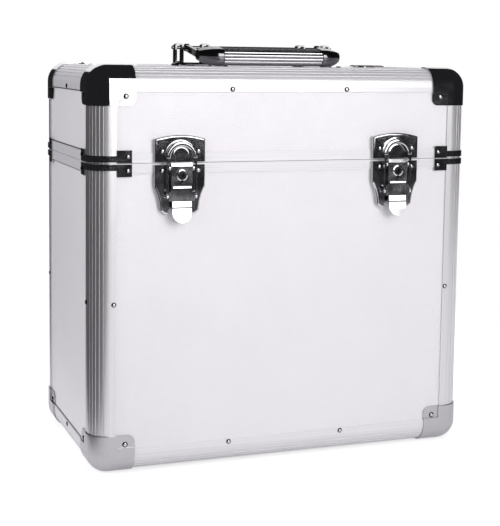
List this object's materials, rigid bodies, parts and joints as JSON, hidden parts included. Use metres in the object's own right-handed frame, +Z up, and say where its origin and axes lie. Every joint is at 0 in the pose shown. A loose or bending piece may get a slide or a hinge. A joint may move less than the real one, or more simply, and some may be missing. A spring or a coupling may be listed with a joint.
{
  "type": "record carrying case",
  "caption": "Upright silver carrying case for vinyl records: framed panels, chrome corners, key-lock draw latches, back-hinged lid and a folding ribbed handle.",
  "frame": {"origin": "middle of the whole outline's footprint, at the level of the undersides of the bottom corners", "axes": "+Z up, +Y towards the hinges at the back, the latches on -Y, +X to the right seen from the front"},
  "size_m": [0.3606, 0.2106, 0.3715],
  "materials": {
    "panel_sheet": "thin diamond-embossed silver sheet over a plywood core",
    "frame_aluminium": "satin anodised, fluted",
    "corner_chrome": "mirror polished",
    "corner_satin": "satin",
    "chrome": "mirror polished",
    "lock_steel": "turned",
    "hinge_steel": "zinc plated",
    "rivet_steel": "nickel plated",
    "grip_ribbed": "ribbed, metallised silver",
    "lining_foam": "thin dark foam"
  },
  "bodies": {
    "base": {"base_clips": "chrome", "base_lining": "lining_foam", "base_panel_back": "panel_sheet", "base_panel_front": "panel_sheet", "base_panel_left": "panel_sheet", "base_panel_right": "panel_sheet", "base_post_back_left": "frame_aluminium", "base_post_back_right": "frame_aluminium", "base_post_front_left": "frame_aluminium", "base_post_front_right": "frame_aluminium", "base_rim": "frame_aluminium", "base_rivets": "rivet_steel", "bottom_corner_back_left": "corner_satin", "bottom_corner_back_right": "corner_satin", "bottom_corner_front_left": "corner_satin", "bottom_corner_front_right": "corner_satin", "bottom_panel": "panel_sheet", "bottom_rail_back": "frame_aluminium", "bottom_rail_front": "frame_aluminium", "bottom_rail_left": "frame_aluminium", "bottom_rail_right": "frame_aluminium", "hinge_base_leaves": "hinge_steel", "hinge_pins": "hinge_steel", "latch_lever_pins": "chrome", "latch_plate_left": "chrome", "latch_plate_right": "chrome"},
    "lid": {"handle_brackets": "chrome", "handle_rod": "chrome", "hinge_lid_leaves": "hinge_steel", "latch_keeper_left": "chrome", "latch_keeper_right": "chrome", "lid_clips": "chrome", "lid_lining": "lining_foam", "lid_panel_back": "panel_sheet", "lid_panel_front": "panel_sheet", "lid_panel_left": "panel_sheet", "lid_panel_right": "panel_sheet", "lid_posts": "frame_aluminium", "lid_rim": "frame_aluminium", "lid_rivets": "rivet_steel", "top_corner_back_left": "corner_chrome", "top_corner_back_right": "corner_chrome", "top_corner_front_left": "corner_chrome", "top_corner_front_right": "corner_chrome", "top_long_rails": "frame_aluminium", "top_panel": "panel_sheet", "top_side_rails": "frame_aluminium"},
    "handle": {"handle_arms": "chrome", "handle_core": "hinge_steel", "handle_end_caps": "chrome", "handle_grip": "grip_ribbed"},
    "left_lever": {"latch_lever_left": "chrome", "latch_bail_pin_left": "chrome"},
    "left_bail": {"latch_bail_left": "chrome"},
    "left_lock": {"latch_lock_left": "lock_steel"},
    "right_lever": {"latch_lever_right": "chrome", "latch_bail_pin_right": "chrome"},
    "right_bail": {"latch_bail_right": "chrome"},
    "right_lock": {"latch_lock_right": "lock_steel"}
  },
  "joints": [
    {"name": "lid_hinge", "type": "hinge", "parent": "base", "child": "lid", "pos_m": [0, 0.1024, 0.2692], "axis": [-1, 0, 0], "range_deg": [0, 100]},
    {"name": "handle_fold", "type": "hinge", "parent": "lid", "child": "handle", "pos_m": [0, 0.0031, 0.3675], "axis": [-1, 0, 0], "range_deg": [0, 160]},
    {"name": "left_lever_swing", "type": "hinge", "parent": "base", "child": "left_lever", "pos_m": [-0.102, -0.1, 0.2655], "axis": [-1, 0, 0], "range_deg": [0, 120]},
    {"name": "left_bail_swing", "type": "hinge", "parent": "left_lever", "child": "left_bail", "pos_m": [-0.102, -0.1013, 0.2412], "axis": [-1, 0, 0], "range_deg": [-120, 0]},
    {"name": "left_lock_turn", "type": "hinge", "parent": "left_lever", "child": "left_lock", "pos_m": [-0.102, -0.1019, 0.2593], "axis": [0, 1, 0], "range_deg": [0, 90]},
    {"name": "right_lever_swing", "type": "hinge", "parent": "base", "child": "right_lever", "pos_m": [0.102, -0.1, 0.2655], "axis": [-1, 0, 0], "range_deg": [0, 120]},
    {"name": "right_bail_swing", "type": "hinge", "parent": "right_lever", "child": "right_bail", "pos_m": [0.102, -0.1013, 0.2412], "axis": [-1, 0, 0], "range_deg": [-120, 0]},
    {"name": "right_lock_turn", "type": "hinge", "parent": "right_lever", "child": "right_lock", "pos_m": [0.102, -0.1019, 0.2593], "axis": [0, 1, 0], "range_deg": [0, 90]}
  ],
  "couplings": [
    {"joint": "left_bail_swing", "follows": "left_lever_swing", "ratio": -1},
    {"joint": "right_bail_swing", "follows": "right_lever_swing", "ratio": -1}
  ]
}
